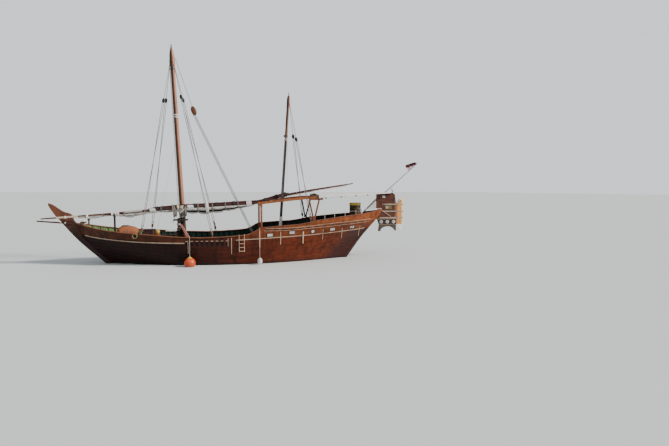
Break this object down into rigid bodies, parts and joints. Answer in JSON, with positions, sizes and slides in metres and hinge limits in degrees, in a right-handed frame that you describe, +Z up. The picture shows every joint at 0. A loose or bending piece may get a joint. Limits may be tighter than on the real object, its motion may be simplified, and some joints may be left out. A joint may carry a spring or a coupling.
{
  "type": "dhow sailing boat",
  "caption": "Double-ended wooden sailing dhow afloat, raked stem, stern board with rudder, masts, lowered yard with furled sail, and a canvas awning over the poop.",
  "frame": {"origin": "on the centreline at the waterline, midway between the points where the stem and the stern post meet the water", "axes": "+X aft, +Y to starboard, +Z up"},
  "size_m": [29.1265, 6.3021, 18.1015],
  "materials": {
    "dark_planks": "varnished dark planks, weathered",
    "red_planks": "oiled red-brown planks with stains",
    "orange_wood": "oiled orange-brown timber",
    "mast_wood": "oiled round spar",
    "dark_wood": "dark stained timber",
    "deck_wood": "bare weathered deck planks",
    "canvas": "grey-white cotton canvas",
    "rope": "natural fibre rope",
    "rudder_wood": "sun-bleached orange-brown timber",
    "brace_wood": "pinkish brown plank",
    "ladder_wood": "pale rope and wood",
    "drum_paint": "dark painted drum with a yellow top",
    "lantern_paint": "white paint",
    "buoy_orange": "orange inflatable skin",
    "buoy_white": "white inflatable skin"
  },
  "bodies": {
    "boat": {"hull": "dark_planks", "bulwark_port": "dark_planks", "poop_side_port": "red_planks", "cap_rail_port": "orange_wood", "bulwark_starboard": "dark_planks", "poop_side_starboard": "red_planks", "cap_rail_starboard": "orange_wood", "poop_moulding_port": "orange_wood", "bow_moulding_port": "orange_wood", "poop_moulding_starboard": "orange_wood", "bow_moulding_starboard": "orange_wood", "stem_post": "orange_wood", "stern_post": "red_planks", "keel": "dark_planks", "poop_deck": "deck_wood", "foredeck": "deck_wood", "poop_bulkhead": "red_planks", "main_mast": "mast_wood", "mizzen_mast": "mast_wood", "fore_crutch": "mast_wood", "awning_fore_beam": "orange_wood", "awning_post_port": "orange_wood", "awning_side_beam_port": "orange_wood", "awning_bracket_port": "orange_wood", "awning_post_starboard": "orange_wood", "awning_side_beam_starboard": "orange_wood", "awning_bracket_starboard": "orange_wood", "awning_aft_beam": "orange_wood", "awning_ridge_pole": "mast_wood", "awning_canvas": "canvas", "stern_board": "red_planks", "flagstaff": "mast_wood", "bow_spar": "dark_wood", "fore_hood": "orange_wood", "deck_chest": "dark_wood", "mast_bitts": "dark_wood", "mast_brace": "brace_wood", "main_hatch": "deck_wood", "poop_drum": "drum_paint", "lantern_post": "lantern_paint", "boarding_ladder": "ladder_wood", "fender_fore": "buoy_orange", "fender_aft": "buoy_white", "main_shroud_fore_port": "rope", "main_shroud_aft_port": "rope", "mizzen_shroud_port": "rope", "main_shroud_fore_starboard": "rope", "main_shroud_aft_starboard": "rope", "mizzen_shroud_starboard": "rope", "halyard_tackle": "rope"},
    "yard": {"main_yard": "dark_wood", "furled_sail": "canvas"},
    "rudder_body": {"rudder": "rudder_wood"},
    "door": {"cuddy_door": "orange_wood"},
    "lid": {"chest_lid": "dark_wood"}
  },
  "joints": [
    {"name": "rudder_turn", "type": "hinge", "parent": "boat", "child": "rudder_body", "pos_m": [13.41, 0, 3.1], "axis": [0, 0, 1], "range_deg": [-35, 35]},
    {"name": "main_yard_hoist", "type": "slide", "parent": "boat", "child": "yard", "axis": [-0.0456, 0, 0.999], "range_m": [0, 5]},
    {"name": "cuddy_door_swing", "type": "hinge", "parent": "boat", "child": "door", "pos_m": [2.292, 0.384, 1.5], "axis": [0, 0, -1], "range_deg": [0, 100]},
    {"name": "chest_lid_lift", "type": "hinge", "parent": "boat", "child": "lid", "pos_m": [-6.02, 0.75, 2.4193], "axis": [-1, 0, 0], "range_deg": [0, 95]}
  ]
}
